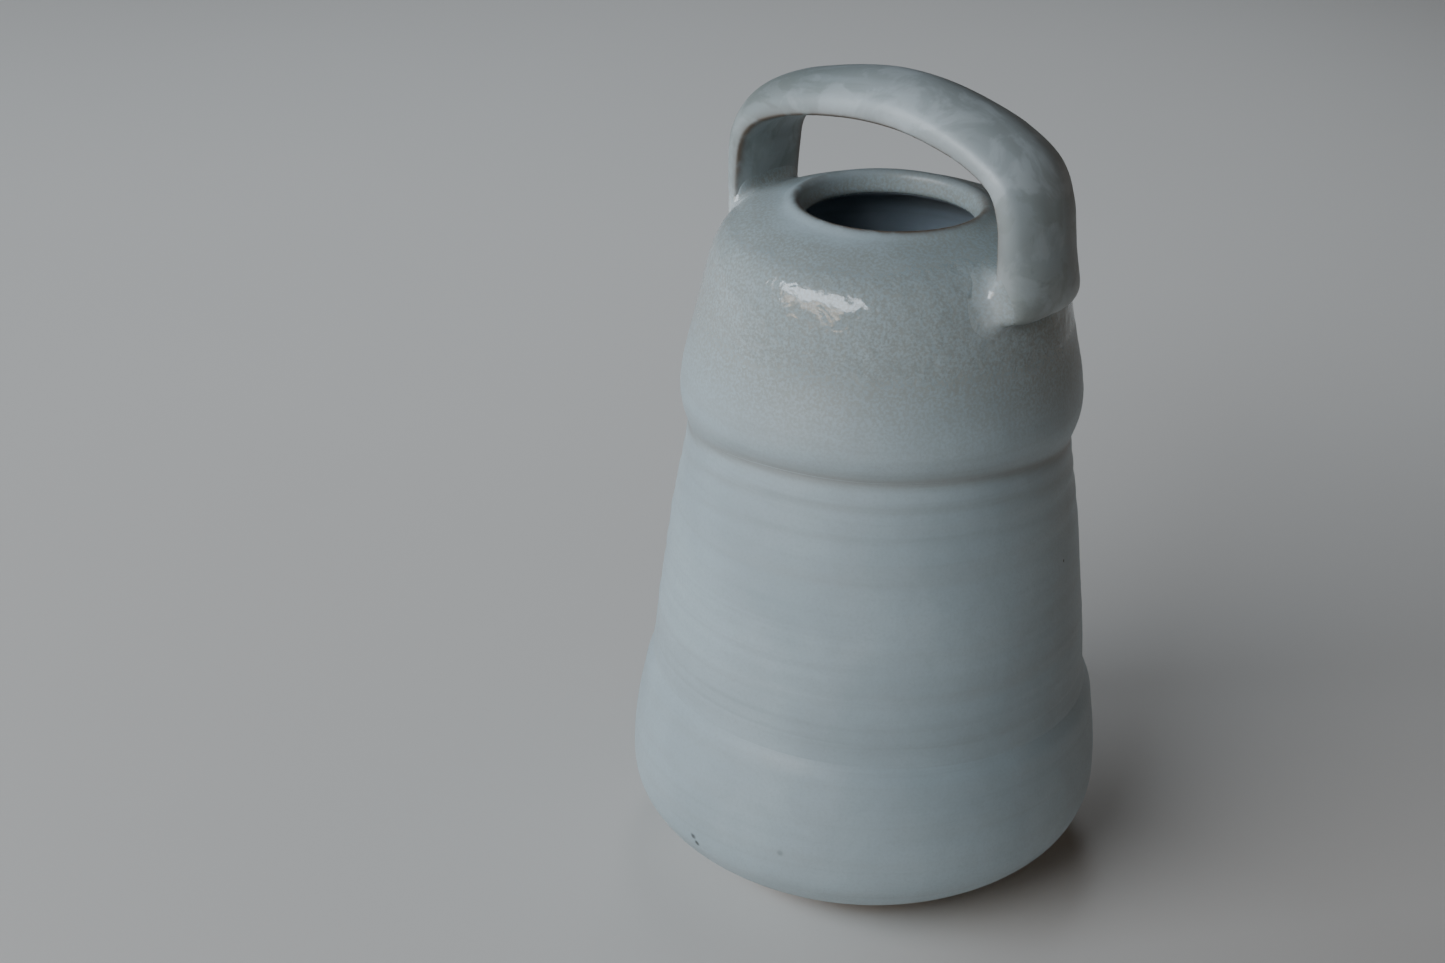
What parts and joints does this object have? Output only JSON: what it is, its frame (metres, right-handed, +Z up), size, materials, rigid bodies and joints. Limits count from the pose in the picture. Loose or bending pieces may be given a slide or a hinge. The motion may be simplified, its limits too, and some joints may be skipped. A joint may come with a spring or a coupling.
{
  "type": "pottery vase with basket handle",
  "caption": "Wheel-thrown stoneware vase with a waisted body, a low domed shoulder, a small rounded mouth and a strap handle arching over it.",
  "frame": {"origin": "centre of the foot ring, on the table", "axes": "+Z up along the axis the body was thrown about; the handle arches over the mouth in the XZ plane, its thicker leg towards +X"},
  "size_m": [0.1274, 0.1274, 0.2235],
  "materials": {
    "fired_clay": "matte",
    "outer_glaze": "satin",
    "liner_glaze": "satin",
    "pooled_glaze": "satin"
  },
  "bodies": {
    "root": {"vessel_body": "fired_clay", "liner_glaze": "liner_glaze", "outer_glaze": "outer_glaze", "handle_strap": "fired_clay", "handle_glaze": "outer_glaze", "left_luting": "pooled_glaze", "right_luting": "pooled_glaze"}
  },
  "joints": []
}
